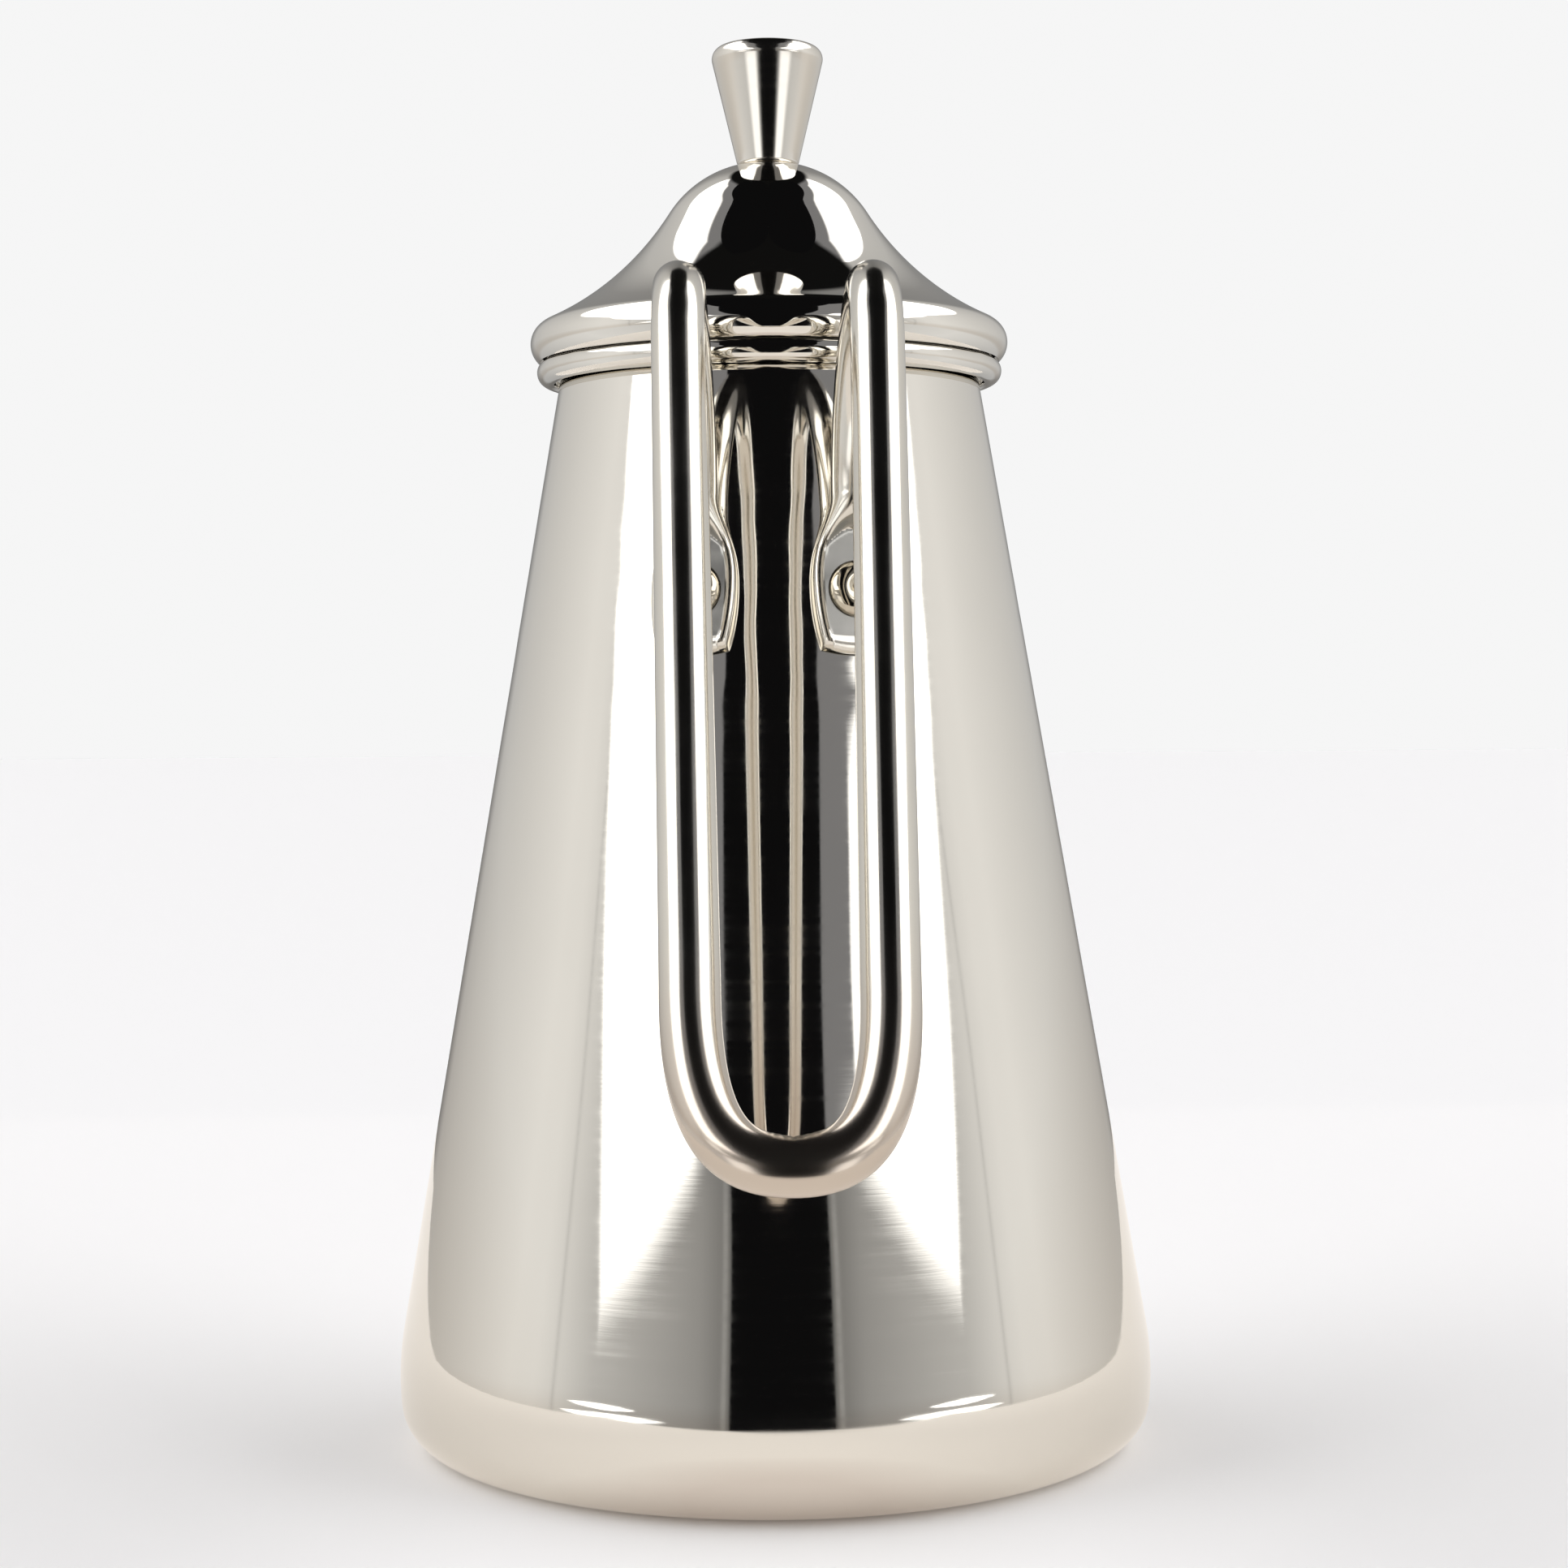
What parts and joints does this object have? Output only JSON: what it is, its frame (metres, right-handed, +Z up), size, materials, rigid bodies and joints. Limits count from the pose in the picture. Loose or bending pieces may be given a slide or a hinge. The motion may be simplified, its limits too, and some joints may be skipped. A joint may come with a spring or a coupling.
{
  "type": "coffee pot",
  "caption": "Tall conical polished-steel pot with a rolled rim, lift-off bell-shaped lid with a tapered knob, riveted tube handle and a beak spout.",
  "frame": {"origin": "on the pot's axis, at its flat underside", "axes": "+Z up along the pot's axis; -Y towards the handle; +Y towards the spout; +X to the right seen from the handle side"},
  "size_m": [0.115, 0.2036, 0.213],
  "materials": {
    "body": "mirror-polished stainless steel",
    "spout": "mirror-polished stainless steel",
    "lid": "mirror-polished stainless steel",
    "collar": "satin stainless steel",
    "knob": "polished turned stainless steel",
    "handle": "polished stainless-steel tube",
    "rivets": "polished rivet steel, slightly warm",
    "fixings": "satin steel"
  },
  "bodies": {
    "pot": {"body_shell": "body", "spout": "spout", "handle": "handle", "rivet_left": "rivets", "rivet_right": "rivets", "rivet_washer_left": "fixings", "rivet_washer_right": "fixings"},
    "lid": {"lid_shell": "lid", "lid_collar": "collar", "knob": "knob", "knob_screw": "fixings", "knob_washer": "fixings"}
  },
  "joints": [
    {"name": "lid_lift", "type": "slide", "parent": "pot", "child": "lid", "axis": [0, 0, 1], "range_m": [0, 0.12]}
  ]
}
